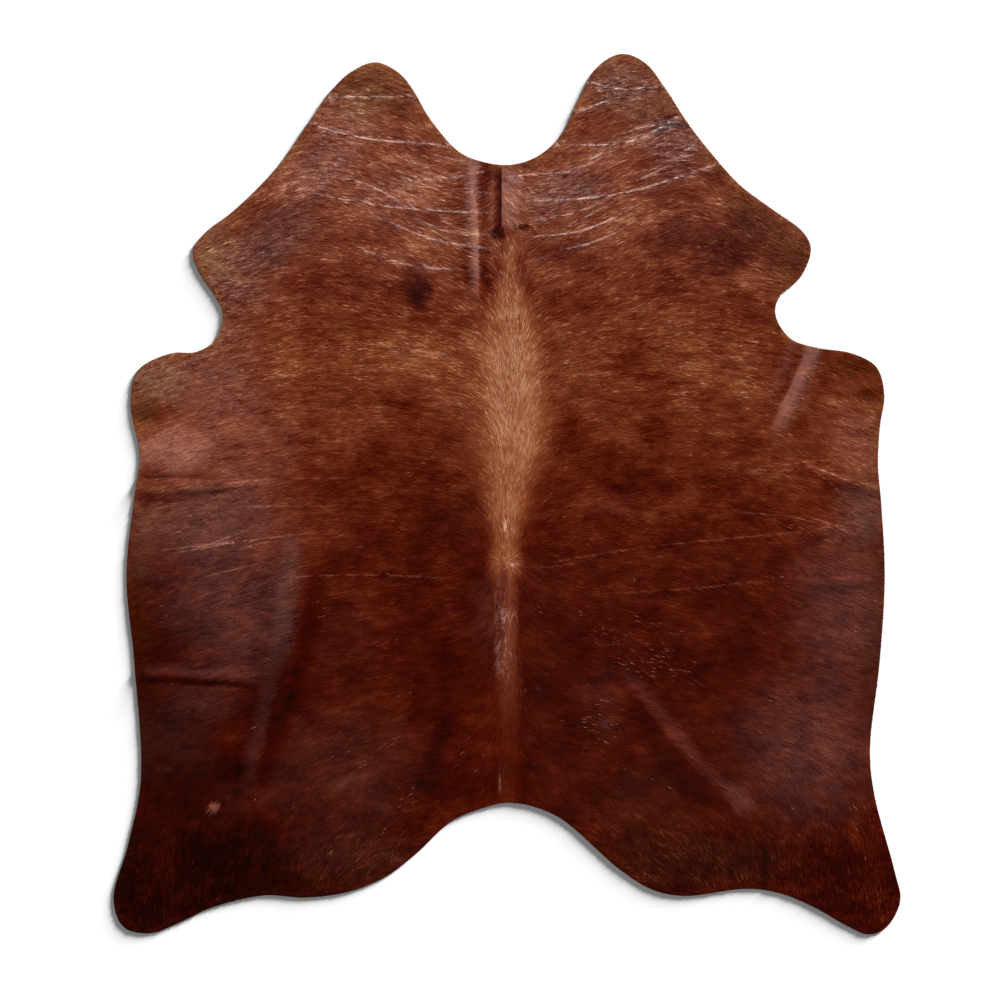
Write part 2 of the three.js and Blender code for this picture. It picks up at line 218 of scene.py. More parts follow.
# Soft patches of the coat in the photograph's pixels: centre, half sizes, turn in degrees, and what
# they add to the tone, and where it isn't nothing, to the painted sheen, a pale lilac highlight of the
# gloss painted into the colour, and to the olive of the thin hair
PATCHES = [
    ("left lobe", (372, 88), (46, 34), 0, -0.01, 0.1, 0.6),
    ("left cheek bloom", (318, 175), (50, 28), 30, -0.05, 1.6),
    ("left lobe light", (348, 126), (40, 36), 0, 0.06, 1.2),
    ("left neck bloom", (405, 188), (60, 28), 10, 0.04, 1.0),
    ("left throat shade", (415, 110), (24, 18), 0, -0.06, 0.0, 0.2),
    ("left scuff", (303, 192), (9, 12), 30, 0.14, 0.5),
    ("left shoulder dusk", (278, 238), (60, 34), 20, -0.16, 0.9, 0.2),
    ("left shoulder bloom", (242, 285), (44, 44), 0, -0.04, 1.0, 0.1),
    ("left arm bloom", (215, 348), (60, 40), 0, -0.02, 0.9, 0.05),
    ("left shoulder tip", (212, 250), (26, 44), 0, 0.04, 0.7, 0.6),
    ("left poll orange", (430, 246), (40, 20), 10, 0.15),
    ("right poll orange", (604, 222), (38, 34), -20, 0.09),
    ("left poll shade", (382, 236), (26, 9), 20, -0.10),
    ("shoulder spot", (418, 293), (18, 17), 20, -0.34),
    ("left wither shade", (338, 290), (46, 16), 10, -0.08),
    ("left wither fleck", (287, 271), (13, 8), 0, 0.10, 0.3),
    ("left crops glow", (400, 360), (80, 30), 0, 0.09),
    ("left crops shade", (398, 402), (22, 13), 0, -0.13),
    ("left barrel shade 1", (394, 433), (34, 16), 0, -0.10),
    ("left barrel glow", (335, 424), (50, 26), 0, 0.06),
    ("left barrel shade 2", (430, 476), (60, 13), 0, -0.10),
    ("left barrel shade 3", (328, 490), (28, 12), 0, -0.08),
    ("left barrel shade 4", (440, 532), (44, 26), 0, -0.07),
    ("left elbow dark", (141, 411), (20, 11), 0, -0.14, 0.2, 1.0),
    ("left elbow olive", (155, 380), (38, 28), 0, -0.03, 1.8, 0.9),
    ("left elbow bloom", (170, 450), (54, 28), 5, 0.03, 2.7),
    ("left elbow dusk", (216, 392), (56, 36), 0, -0.02, 1.4),
    ("left barrel haze", (240, 446), (68, 54), 10, 0.0, 0.9),
    ("left rib haze", (205, 512), (88, 44), 5, -0.02, 1.4, 0.2),
    ("left flank haze", (232, 585), (76, 84), 10, 0.04, 1.0),
    ("left stifle haze", (245, 655), (44, 34), 0, 0.02, 0.3),
    ("left barrel warm", (305, 525), (60, 50), 0, 0.09, 0.1),
    ("left loin warm", (340, 640), (50, 60), 0, 0.05, 0.1),
    ("left spine warm", (470, 390), (24, 100), 0, 0.06),
    ("tail streak dusk", (488, 612), (16, 40), 0, 0.02, 0.35),
    ("left hip brown", (205, 695), (46, 26), 0, 0.08, 0.4, 0.2),
    ("left stifle glow", (256, 798), (50, 22), 0, 0.10, 0.1, 0.2),
    ("left flank edge", (138, 650), (20, 120), 0, 0.0, 0.0, 1.0),
    ("left flank light", (142, 548), (24, 46), 0, 0.09, 0.4, 0.5),
    ("left rump haze", (345, 765), (90, 60), 0, 0.04, 0.3, 0.3),
    ("left thigh olive", (350, 848), (70, 40), 0, 0.03, 0.2, 0.5),
    ("left rump glow", (396, 705), (44, 26), 0, 0.08, 0.0, 0.2),
    ("left rump red", (440, 684), (36, 34), 0, -0.06),
    ("left rump shade", (434, 775), (18, 30), 0, -0.06),
    ("left rump fleck 1", (346, 786), (13, 9), 0, 0.10, 0.4),
    ("left rump fleck 2", (381, 806), (16, 7), -30, 0.09, 0.3),
    ("left rump fleck 3", (391, 857), (12, 10), 0, 0.09, 0.3, 0.3),
    ("left shank dark", (236, 856), (80, 42), 0, -0.10),
    ("left thigh edge", (310, 884), (90, 20), 0, -0.02, 0.0, 0.5),
    ("left shank red", (146, 850), (26, 44), 15, 0.04),
    ("left thigh brown", (172, 738), (54, 44), 0, -0.05, 0.2, 0.3),
    ("spine glow left", (478, 330), (20, 50), 0, 0.02),
    ("right lobe", (625, 88), (44, 36), 0, -0.07, 1.3, 0.4),
    ("right cheek bloom", (668, 140), (40, 30), -30, -0.13, 1.6, 0.1),
    ("right throat bloom", (612, 152), (50, 14), 22, 0.02, 0.9),
    ("right neck bloom", (556, 192), (60, 24), 10, -0.12, 1.5),
    ("right poll shade 1", (545, 251), (26, 11), 0, -0.10),
    ("right poll shade 2", (672, 238), (48, 22), 20, -0.16),
    ("right wither shade", (570, 304), (30, 16), 0, -0.06),
    ("right shoulder shade", (724, 254), (46, 28), 30, -0.19, 0.0, 0.2),
    ("right shoulder dusk", (752, 214), (34, 22), -30, -0.12, 0.0, 0.7),
    ("right neck shade", (678, 196), (44, 26), -20, -0.14),
    ("right shoulder tip", (788, 254), (26, 36), 0, -0.12, 0.0, 0.7),
    ("right shoulder glow", (758, 275), (34, 10), 0, 0.09, 0.2),
    ("right crops glow", (722, 378), (60, 42), 0, 0.08),
    ("right crops shade 1", (663, 381), (28, 13), 0, -0.09),
    ("right crops shade 2", (653, 421), (15, 22), 0, -0.08),
    ("spine shade right", (572, 420), (16, 50), 0, -0.06),
    ("right barrel shade 1", (612, 455), (22, 12), 0, -0.09),
    ("right barrel shade 2", (634, 484), (40, 12), 0, -0.12),
    ("right barrel shade 3", (717, 484), (20, 11), 0, -0.10),
    ("right barrel glow", (679, 495), (24, 10), 0, 0.07),
    ("right barrel fleck", (612, 507), (32, 14), 0, 0.09, 0.2),
    ("right elbow olive", (858, 362), (30, 14), 0, -0.10, 0.0, 0.9),
    ("right elbow spot", (870, 396), (11, 9), 0, -0.18, 0.0, 0.4),
    ("right elbow bloom", (856, 440), (34, 40), 0, 0.09, 1.0),
    ("right arm glow", (815, 400), (34, 30), 0, 0.05, 0.1),
    ("right flank dusk", (862, 510), (32, 42), 0, -0.02, 1.2, 0.6),
    ("right flank haze", (842, 605), (54, 90), 0, 0.07, 1.0),
    ("right flank edge", (876, 665), (13, 110), 0, -0.02, 0.0, 0.8),
    ("right loin shade", (800, 645), (26, 26), 0, -0.07),
    ("right stifle haze", (808, 745), (80, 82), 0, 0.06, 0.9),
    ("right rump glow", (648, 800), (52, 40), 0, 0.03, 0.1, 0.3),
    ("right rump fleck", (600, 702), (26, 46), 0, 0.04, 0.2),
    ("right rump shine top", (648, 697), (16, 16), 0, 0.08),
    ("right rump shine end", (735, 797), (24, 13), -40, 0.05, 0.6),
    ("right rump dark", (604, 722), (10, 8), 0, -0.06, 0.5, 0.4),
    ("right rump shade", (560, 690), (34, 60), 0, -0.04),
    ("right thigh olive", (696, 858), (110, 30), 0, 0.02, 0.1, 0.8),
    ("right shank red", (862, 830), (20, 60), 12, 0.09),
    ("right shank dark", (832, 868), (36, 28), 0, -0.07),
]

# Straight shines along the crests of the waves, in the photograph's pixels: two places, the width at
# each, and how strong they are
SHINES = [
    ("neck pipe", (473, 156), (477, 322), (15, 6), 1.05),
    ("neck second pipe", (493, 172), (494, 298), (5, 4), 0.25),
    ("shoulder pipe", (817, 340), (768, 448), (19, 13), 0.95),
    ("shoulder second pipe", (794, 340), (764, 404), (13, 11), 0.28),
    ("left flank, upper half", (293, 536), (281, 672), (20, 24), 0.32),
    ("left flank, lower half", (280, 650), (246, 800), (16, 14), 0.10),
]

# Small marks in the photograph's pixels, each of soft ovals: centre, half sizes and strength
MARKS = {
    # The two marks of the slit darken the coat: a blot at its shut end, and the painted shadow of the flap
    # along its foot
    "shut end of the slit": [((499, 234), (8, 10), 1)],
    "slit foot": [((521, 226.5), (10, 3.2), 1)],
    "scuff": [
        ((657, 131), (9, 5), 1),
        ((671, 124), (10, 5), 1),
        ((683, 127), (7, 4), 1),
        ((607, 180), (8, 3), 0.7),
        ((592, 197), (9, 3), 0.8),
    ],
    "scar": [((215, 806), (6.5, 6), 0.42)],
    "dimple": [((505, 572), (3.4, 8), 1), ((503, 767), (6, 3), 0.7)],
    "wisps": [
        ((506, 614), (12, 8), 1),
        ((500, 603), (6, 30), 0.6),
        ((512, 564), (8, 3), 1),
        ((503, 652), (9, 34), 0.5),
    ],
    "shade of the wisps": [((502, 606), (6, 44), 1)],
    "tail mark": [((500, 781), (1.8, 9), 1)],
    "whorl": [((505.3, 527), (1.8, 5.5), 1), ((507.6, 536), (1.4, 4), 0.3)],
    "flecked": [((598, 716), (26, 28), 1), ((644, 664), (40, 20), 0.8), ((640, 632), (80, 16), 0.4)],
}

# The slit at the neck, whose inside is painted dark as shade, in the photograph's pixels: where it
# begins and ends across and along the hide, each as a soft step, and how far the pale hair beside it
# reaches
SLIT_LEFT = (493, 500.4)
SLIT_RIGHT = (501, 502.6)
SLIT_FOOT = (229, 222)
SLIT_TOP = (178, 164)
FAN_RIGHT = (511, 524)

# Broad painted light and shade along the waves, in the photograph's pixels: three places, width, and
# what they add to the tone, and where it isn't nothing, to the painted sheen
BANDS = [
    ("neck pipe shade left", (460, 150), (464, 230), (468, 300), 13, -0.10, -0.3),
    ("neck pipe shade right", (485, 140), (486, 230), (488, 310), 15, -0.18, -0.5),
    ("shoulder pipe shade left", (800, 340), (776, 392), (755, 430), 16, -0.02),
    ("shoulder pipe shade right", (834, 358), (810, 404), (784, 444), 18, -0.10),
    ("left flank shine", (302, 515), (284, 640), (246, 795), 26, 0.04, 0.2),
    ("left flank shade", (322, 545), (304, 650), (258, 790), 26, -0.17, -0.5),
    ("left stifle shade", (244, 735), (240, 770), (238, 802), 14, -0.12),
    ("left rump shade", (460, 700), (440, 755), (424, 805), 30, -0.10),
    ("right rump shine", (612, 655), (683, 744), (754, 820), 23, 0.08, 0.4),
    ("right rump shade", (622, 692), (662, 750), (712, 815), 32, -0.16, -0.3),
    ("left edge shine", (133, 486), (200, 488), (268, 481), 7, 0.14, 0.4),
    ("left edge shade above", (136, 476), (175, 475), (215, 477), 8, -0.16, -0.8),
    ("left edge shade below", (126, 495), (175, 497), (235, 486), 13, -0.18, -0.7),
    ("left hip shine", (140, 668), (200, 671), (266, 672), 14, 0.04, 0.5),
    ("left hip shade", (134, 678), (200, 681), (262, 685), 9, -0.18, -0.4),
    ("right edge shine", (798, 464), (846, 478), (888, 491), 6, 0.14, 0.6),
    ("right edge shade", (812, 478), (850, 490), (896, 501), 8, -0.16),
    ("left belly shade", (126, 577), (172, 579), (226, 585), 13, -0.10),
    ("right belly shade", (802, 588), (846, 587), (888, 583), 11, -0.09, -0.2),
    ("right thigh crease", (764, 845), (764, 868), (763, 892), 9, -0.20),
    ("right thigh fold", (696, 868), (722, 862), (752, 858), 9, -0.12),
]


def to_metres(pixel):
    """A pixel of the photograph as a place on the rug."""
    return (pixel[0] - HIDE_CENTRE_PX[0]) * PIXEL, (HIDE_CENTRE_PX[1] - pixel[1]) * PIXEL


def linear(colour):
    """A colour given as 0 to 255 in sRGB, as a shader takes it."""
    shares = [c / 255 for c in colour]
    return [s / 12.92 if s <= 0.04045 else ((s + 0.055) / 1.055) ** 2.4 for s in shares]


def smoothstep(value, low, high):
    """0 below low, 1 above high, and a smooth rise between, on arrays."""
    share = np.clip((value - low) / (high - low), 0, 1)
    return share * share * (3 - 2 * share)


# Node trees


class Value:
    """A socket that carries a number, with the arithmetic that the trees use."""

    def __init__(self, tree, socket):
        self.tree = tree
        self.socket = socket

    def math(self, operation, *others, **settings):
        """A Math node on this value and others."""
        inputs = dict(enumerate((self, *others)))
        made = self.tree.node("ShaderNodeMath", inputs, operation=operation, **settings)
        return Value(self.tree, made.outputs[0])

    def __add__(self, other):
        return self.math("ADD", other)

    def __sub__(self, other):
        return self.math("SUBTRACT", other)

    def __mul__(self, other):
        return self.math("MULTIPLY", other)

    def __truediv__(self, other):
        return self.math("DIVIDE", other)

    def __rsub__(self, other):
        return (self * -1).math("ADD", other)

    __radd__ = __add__
    __rmul__ = __mul__

    def __abs__(self):
        return self.math("ABSOLUTE")

    def smooth(self, low, high):
        """0 below low, 1 above high, and a smooth rise between."""
        made = self.tree.node(
            "ShaderNodeMapRange",
            {"Value": self, "From Min": low, "From Max": high},
            interpolation_type="SMOOTHSTEP",
        )
        return Value(self.tree, made.outputs[0])


class Tree:
    """Adds nodes to a node tree: one call for any node, and short ones for what the rug uses most."""

    def __init__(self, tree):
        self.tree = tree
        self.nodes = tree.nodes
        self.links = tree.links

    def node(self, kind, inputs=None, **settings):
        """A node of that type. Its settings come first, then the values or links of its sockets."""
        made = self.nodes.new(kind)
        for name, setting in settings.items():
            setattr(made, name, setting)
        for key, value in (inputs or {}).items():
            if isinstance(value, Value):
                value = value.socket
            if isinstance(value, bpy.types.NodeSocket):
                self.links.new(value, made.inputs[key])
            else:
                made.inputs[key].default_value = value
        return made

    def value(self, node, output=0):
        """One output of a node as a number to count with."""
        return Value(self, node.outputs[output])

    def axes(self, vector):
        """The X, Y and Z of a vector."""
        made = self.node("ShaderNodeSeparateXYZ", {0: vector})
        return [self.value(made, k) for k in range(3)]

    def vector(self, x=0.0, y=0.0, z=0.0):
        """A vector of three numbers."""
        return self.node("ShaderNodeCombineXYZ", {0: x, 1: y, 2: z}).outputs[0]

    def noise(self, vector, scale, detail=2.0, roughness=0.5):
        """Smooth noise around 0.5."""
        inputs = {"Vector": vector, "Scale": scale, "Detail": detail, "Roughness": roughness}
        return self.value(self.node("ShaderNodeTexNoise", inputs), "Fac")

    def ramp(self, value, stops):
        """A colour ramp. Each stop is a place from 0 to 1 and an sRGB colour or a number."""
        made = self.node("ShaderNodeValToRGB", {"Fac": value})
        elements = made.color_ramp.elements
        while len(elements) < len(stops):
            elements.new(1.0)
        for element, (place, stop) in zip(elements, stops):
            element.position = place
            element.color = (stop,) * 3 + (1,) if isinstance(stop, float) else (*linear(stop), 1)
        return made.outputs["Color"]

    def mix(self, share, first, second):
        """Two colours mixed. A colour is a socket or an sRGB colour."""
        made = self.node("ShaderNodeMix", {0: share}, data_type="RGBA")
        for key, colour in ((6, first), (7, second)):
            if isinstance(colour, bpy.types.NodeSocket):
                self.links.new(colour, made.inputs[key])
            else:
                made.inputs[key].default_value = (*linear(colour), 1)
        return made.outputs[2]

    def brighten(self, colour, by, tint=(1, 1, 1)):
        """A colour times a number and a tint."""
        tinted = self.node("ShaderNodeVectorMath", {0: colour, 1: tint}, operation="MULTIPLY").outputs[0]
        return self.node("ShaderNodeVectorMath", {0: tinted, "Scale": by}, operation="SCALE").outputs[0]

    def add(self, colour, share, light):
        """A colour with a share of some light added."""
        extra = self.node("ShaderNodeVectorMath", {0: light, "Scale": share}, operation="SCALE").outputs[0]
        return self.node("ShaderNodeVectorMath", {0: colour, 1: extra}).outputs[0]

    def attribute(self, name):
        """The node of a named attribute of the piece."""
        return self.node("ShaderNodeAttribute", attribute_name=name)


# Colours of the coat

# The colour of the coat, in sRGB, by its tone
COAT_COLOURS = [
    (0.0, (20, 1, 1)),
    (0.1, (37, 5, 1)),
    (0.2, (50, 5, 1)),
    (0.3, (61, 8, 2)),
    (0.4, (74, 15, 3)),
    (0.5, (88, 25, 8)),
    (0.6, (106, 40, 18)),
    (0.7, (121, 54, 30)),
    (0.8, (140, 72, 41)),
    (0.9, (169, 101, 66)),
    (1.0, (200, 145, 112)),
]

# The tone of the pale streak along the back and half its width in metres, by Y in millimetres
STREAK_TONES = [
    (-740, 0.56),
    (-640, 0.44),
    (-560, 0.50),
    (-440, 0.61),
    (-290, 0.72),
    (-215, 0.70),
    (-175, 0.84),
    (-30, 0.87),
    (150, 0.93),
    (330, 0.93),
    (460, 0.88),
    (600, 0.80),
]
STREAK_HALF_WIDTHS = [
    (-740, 0.022),
    (-440, 0.026),
    (-290, 0.022),
    (-210, 0.024),
    (-170, 0.038),
    (-110, 0.036),
    (-40, 0.050),
    (60, 0.074),
    (150, 0.086),
    (330, 0.082),
    (460, 0.042),
    (530, 0.018),
    (600, 0.010),
]

# How far the line along the back lies off the middle of the hide, by Y, both in millimetres
SPINE = [
    (-760, 3),
    (-440, 3),
    (-290, 0),
    (-150, -3),
    (-60, -4),
    (30, 5),
    (150, 14),
    (330, 12),
    (460, 8),
    (600, 8),
    (650, -14),
]

# The Y in millimetres at which the hair of the back parts into forwards and backwards
PARTING_Y = -172


def along_back(tree, y, stops):
    """A number that changes from the tail to the neck. Each stop is a millimetre of Y and a number."""
    half = HIDE_LENGTH / 2
    places = [((place * MM + half) / HIDE_LENGTH, number) for place, number in stops]
    ramp = tree.ramp((y + half) / HIDE_LENGTH, places)
    return tree.value(tree.node("ShaderNodeRGBToBW", {0: ramp}))


def spot(tree, x, y, pixel, half):
    """A soft small oval: 1 in its middle and 0 outside, at a pixel of the photograph."""
    centre = to_metres(pixel)
    across, up = (x - centre[0]) / (half[0] * PIXEL), (y - centre[1]) / (half[1] * PIXEL)
    return 1 - (across * across + up * up).math("SQRT").smooth(0.55, 1.1)


def strip(tree, x, y, start, end, widths):
    """A straight soft strip, 1 along its middle, between two pixels of the photograph."""
    (from_x, from_y), (to_x, to_y) = to_metres(start), to_metres(end)
    length = math.hypot(to_x - from_x, to_y - from_y)
    run, rise = (to_x - from_x) / length, (to_y - from_y) / length
    along = ((x - from_x) * run + (y - from_y) * rise) / length
    half_width = (along * (widths[1] - widths[0]) + widths[0]) * (PIXEL / 2)
    across = abs((x - from_x) * rise - (y - from_y) * run) / half_width
    return (1 - across.smooth(0.4, 1.2)) * window(along, (-0.05, 0.07), (0.6, 1.0))


def mark(tree, x, y, name):
    """A small mark from the table, its ovals added up."""
    return sum(spot(tree, x, y, pixel, half) * strength for pixel, half, strength in MARKS[name])


def window(value, rise, fall):
    """1 between a rise and a fall, each given as a start and an end, and 0 outside them."""
    return value.smooth(*rise) * (1 - value.smooth(*fall))


def coat_colour(tree, place, lock=None):
    """The coat's colour at a place on the hide, with painted sheen, painted highlights and painted shade.
    A lock of its own adds its own shade to the tone.
    """
    x, y, _ = tree.axes(place)
    # The second of these attributes is the painted sheen: a pale lilac highlight of the hair's gloss,
    # painted into the colour
    names = ("tone", "painted_sheen", "olive", "crease", "rim_distance", "spine_offset")
    tone, painted_sheen, olive, crease, rim, spine = (tree.value(tree.attribute(name), "Fac") for name in names)
    flow = tree.attribute("hair_flow").outputs["Vector"]
    mottle = tree.noise(tree.vector(x * 0.75, y, 0.0), 11.0, 4.0, 0.66) - 0.5
    fleck = tree.noise(tree.vector(x * 0.7, y, 1.0), 44.0, 3.0, 0.62) - 0.5
    clump = tree.noise(flow, 0.32, 3.0, 0.6) - 0.5
    strand = tree.noise(flow, 1.1, 2.0, 0.6) - 0.5
    crumb = tree.noise(place, 150.0) - 0.5

    half_width = along_back(tree, y, STREAK_HALF_WIDTHS)
    behind = 1 - y.smooth(-0.21, -0.15)
    ragged = (mottle * 1.8 + fleck * 2.6) * behind
    reach = abs(spine - mottle * 0.012) / half_width + clump * 1.1 + strand * 0.6 + ragged
    streak = (1 - reach.smooth(0.35, 1.45)) * window(y, (-0.80, -0.70), (0.57, 0.64))
    tone = tone + streak * (along_back(tree, y, STREAK_TONES) - tone)

    neck = y.smooth(0.1, 0.5)
    hairs = clump * 0.36 + strand * 0.32 + crumb * 0.14
    if lock:
        hairs = hairs + lock
    # The blotches vary less on the streak, the olive and under the painted sheen, and the hairs vary less
    # under the painted sheen below the neck
    calm = (streak * 0.6).math("MAXIMUM", olive * 0.5).math("MAXIMUM", painted_sheen.smooth(0.6, 2.4) * 0.5)
    blotches = (mottle * 0.70 + fleck * 0.42) * (1 - calm)
    shank = 1 - y.smooth(-0.9, -0.68)
    sleek = 1 - painted_sheen.smooth(0.8, 2.4) * (1 - neck) * 0.35
    tone = tone + blotches + hairs * sleek * (y.smooth(-0.7, 0.5) * 0.5 + shank * 1.1 + neck * 0.25 + 0.5)

    # Painted shade inside the slit, a dark blot at its shut end and the painted shadow of the flap at its
    # foot; the pale hair beside the slit is its own colour
    left, right, fan_end = (
        [to_metres((px, 0))[0] for px in step] for step in (SLIT_LEFT, SLIT_RIGHT, FAN_RIGHT)
    )
    foot, top = ([to_metres((0, px))[1] for px in step] for step in (SLIT_FOOT, SLIT_TOP))
    beside_slit = window(y, foot, top)
    slit = window(x, left, right) * beside_slit
    fan = window(x, right, fan_end) * beside_slit
    shut = mark(tree, x, y, "shut end of the slit").math("MAXIMUM", mark(tree, x, y, "slit foot"))
    scuff = mark(tree, x, y, "scuff")
    scuff = scuff * (fleck * 2.6 + crumb * 2.6 + 0.75).math("MAXIMUM", 0.0).math("MINIMUM", 1.0)
    scar, dimple = mark(tree, x, y, "scar"), mark(tree, x, y, "dimple")
    tone = tone + fan * 0.02 + scar - slit * 0.42 - shut * 0.5 - scuff * 0.42 - dimple * 0.16

    wisps = mark(tree, x, y, "wisps") * (strand * 3 + crumb * 2.4).math("MAXIMUM", 0.0)
    tail_mark = mark(tree, x, y, "tail mark")
    tone = tone + wisps * 0.3 + tail_mark * 0.14 - mark(tree, x, y, "shade of the wisps") * 0.13

    colour = tree.ramp(tone, COAT_COLOURS)
    worn = rim + mottle * 0.03
    edge = (1 - worn.smooth(0.0, 0.034)) * 0.5 * y.smooth(-0.95, -0.1)
    thin = (olive * (1 + mottle * 1.2 + fleck * 0.7)).math("MAXIMUM", edge).math("MINIMUM", 1.0)
    colour = tree.mix(thin * 0.85, colour, tree.brighten(colour, 1.0, (0.8, 1.5, 1.0)))
    # Painted sheen: a pale lilac highlight of the gloss, where the patches and bands put it, over the neck
    # and on part of the back's streak, broken up along the hair
    sheen = painted_sheen + y.smooth(0.35, 0.7) * 0.7 + streak * window(y, (-0.6, -0.4), (-0.24, -0.16)) * 0.35
    grain = fleck * 1.3 + strand * 2.4 + clump * 1.4 + crumb * 1.4 + mottle * 0.9
    sheen = sheen * (1 + grain + (lock or 0.0) * 3)
    sheen = sheen * (1 - neck * 0.22) * (1 - (slit + shut).math("MINIMUM", 1.0) * 0.8)
    pinkish = fan * (3.4 + strand * 9 + crumb * 6)
    # Added in pale lilac: the painted sheen, and the paler hair beside the slit, at the tail mark, the
    # dimples, the scar and the scuff
    sheen_and_pale_marks = (sheen + pinkish + tail_mark * 2.0 + dimple * 0.6 + scar * 4 + scuff).math("MAXIMUM", 0.0)
    colour = tree.add(colour, sheen_and_pale_marks, (0.032, 0.021, 0.019))
    for _, start, end, widths, strength in SHINES:
        shine = strip(tree, x, y, start, end, widths) * strength
        colour = tree.add(colour, shine * (1 + strand * 0.9 + fleck * 0.7), (0.090, 0.062, 0.056))
    colour = tree.add(colour, mark(tree, x, y, "whorl"), (0.36, 0.30, 0.27))
    # Painted highlights along the crests of the creases, white on the neck and warm on the body and broken
    # into dashes, with pale painted glints on the strands beside the creases and under the painted sheen on
    # the neck, and the paler wisps of the back's streak
    broken = (fleck * 0.8 + strand * 0.7 + clump * 0.7 + crumb * 1.1).smooth(-0.2, 0.16)
    near = tree.value(tree.attribute("crease_side"), "Fac")
    painted_glints_and_wisps = (strand * 1.7 + crumb * 1.8 - 0.06).math("MAXIMUM", 0.0)
    painted_glints_and_wisps = painted_glints_and_wisps * (near * 0.8 + painted_sheen.smooth(0.3, 1.4) * 0.95) * neck + wisps * 0.75
    colour = tree.add(colour, crease * broken * neck * 1.2 + painted_glints_and_wisps, (0.50, 0.39, 0.36))
    crest_highlight = crease * broken * (1 - neck)
    colour = tree.add(colour, crest_highlight * painted_sheen.smooth(0.1, 1.2), (0.24, 0.14, 0.11))
    return tree.add(colour, crest_highlight, (0.18, 0.06, 0.035))


def new_material(name):
    """An empty node material: its tree, and the shader whose sockets take the looks."""
    material = bpy.data.materials.new(name)
    material.use_nodes = True
    material.node_tree.nodes.clear()
    tree = Tree(material.node_tree)
    shader = tree.node("ShaderNodeBsdfPrincipled")
    tree.node("ShaderNodeOutputMaterial", {"Surface": shader.outputs[0]})
    return material, tree, shader


def skin_material():
    """The coat side of the skin, under and between the locks: streaks that follow the hair."""
    material, tree, shader = new_material("coat_ground")
    place = tree.node("ShaderNodeTexCoord").outputs["Object"]
    strands = tree.noise(tree.attribute("hair_flow").outputs["Vector"], 1.6, 3.0, 0.65) - 0.5
    ground = coat_colour(tree, place)
    tree.links.new(tree.brighten(ground, 0.92 + strands * 0.8), shader.inputs["Base Color"])
    bump = tree.node("ShaderNodeBump", {"Height": strands, "Strength": 0.4, "Distance": 0.001})
    tree.links.new(bump.outputs[0], shader.inputs["Normal"])
    gloss(shader)
    return material


def gloss(shader):
    """The low warm gloss that all the hair has."""
    shader.inputs["Roughness"].default_value = 0.45
    shader.inputs["Specular IOR Level"].default_value = 0.04
    shader.inputs["Specular Tint"].default_value = (1.0, 0.42, 0.28, 1)


def lock_material():
    """A lock of hair: coloured by where it is rooted, paler at its tip and darker at its root, partly as
    painted shade, and each a little different.
    """
    material, tree, shader = new_material("coat_locks")
    place = tree.attribute("root").outputs["Vector"]
    shade = tree.value(tree.attribute("shade"), "Fac")
    along = tree.value(tree.attribute("along"), "Fac")
    across = tree.value(tree.attribute("across"), "Fac")
    vivid = (shade.math("POWER", 3.0) - 0.25) * 0.24
    # Darker at the root and paler at the tip, partly as painted shade near the skin
    hair = coat_colour(tree, place, vivid + (along - 0.5) * 0.06)
    fine = tree.noise(tree.vector(across * 9 + shade * 60, along * 1.5, shade * 9), 1.0, 2.0) - 0.5
    hair = tree.brighten(hair, 1.0 + fine * 0.5)
    tone = tree.value(tree.attribute("tone"), "Fac")
    gathered = tree.noise(place, 9.0, 2.0).smooth(0.5, 0.6) * tone.smooth(0.26, 0.34)
    x, y, _ = tree.axes(place)
    few = shade.smooth(0.990, 0.992) * gathered
    more = shade.smooth(0.95, 0.955) * mark(tree, x, y, "flecked") * 1.3
    hair = tree.add(hair, (few + more) * along.smooth(0.3, 0.5), (0.19, 0.10, 0.065))
    tree.links.new(hair, shader.inputs["Base Color"])
    gloss(shader)
    return material


def flesh_material():
    """The flesh side and the cut edge: pale suede with a short nap and faint veins."""
    material, tree, shader = new_material("flesh_suede")
    place = tree.node("ShaderNodeTexCoord").outputs["Object"]
    broad = tree.noise(place, 5.0, 4.0, 0.6)
    nap = tree.noise(place, 420.0, 3.0, 0.6)
    colour = tree.mix(broad.smooth(0.3, 0.7), (186, 164, 138), (158, 134, 108))
    tree.links.new(tree.brighten(colour, 0.8 + nap * 0.4), shader.inputs["Base Color"])
    bump = tree.node("ShaderNodeBump", {"Height": nap, "Strength": 0.4, "Distance": 0.0006})
    tree.links.new(bump.outputs[0], shader.inputs["Normal"])
    shader.inputs["Roughness"].default_value = 0.95
    return material


# Shape of the hide


def cut_edge():
    """The rim of the CAD solid's underside as an ordered ring of places, clockwise from above."""
    mesh = bmesh.new()
    mesh.from_mesh(frame["nodes"][NODE].data)
    bmesh.ops.remove_doubles(mesh, verts=mesh.verts, dist=1e-5)
    mesh.normal_update()
    following = {}
    for edge in mesh.edges:
        down = [f for f in edge.link_faces if f.normal.z < -0.5]
        wall = [f for f in edge.link_faces if abs(f.normal.z) < 0.1]
        if len(down) == 1 and len(wall) == 1:
            loop = next(item for item in down[0].loops if item.edge == edge)
            following[loop.vert.index] = loop.link_loop_next.vert.index
    mesh.verts.ensure_lookup_table()
    start = next(iter(following))
    ring = [start]
    while following[ring[-1]] != start:
        ring.append(following[ring[-1]])
    places = np.array([mesh.verts[i].co.xy for i in ring])
    mesh.free()
    area = 0.5 * np.sum(places[:, 0] * np.roll(places[:, 1], -1) - places[:, 1] * np.roll(places[:, 0], -1))
    return places if area < 0 else places[::-1]


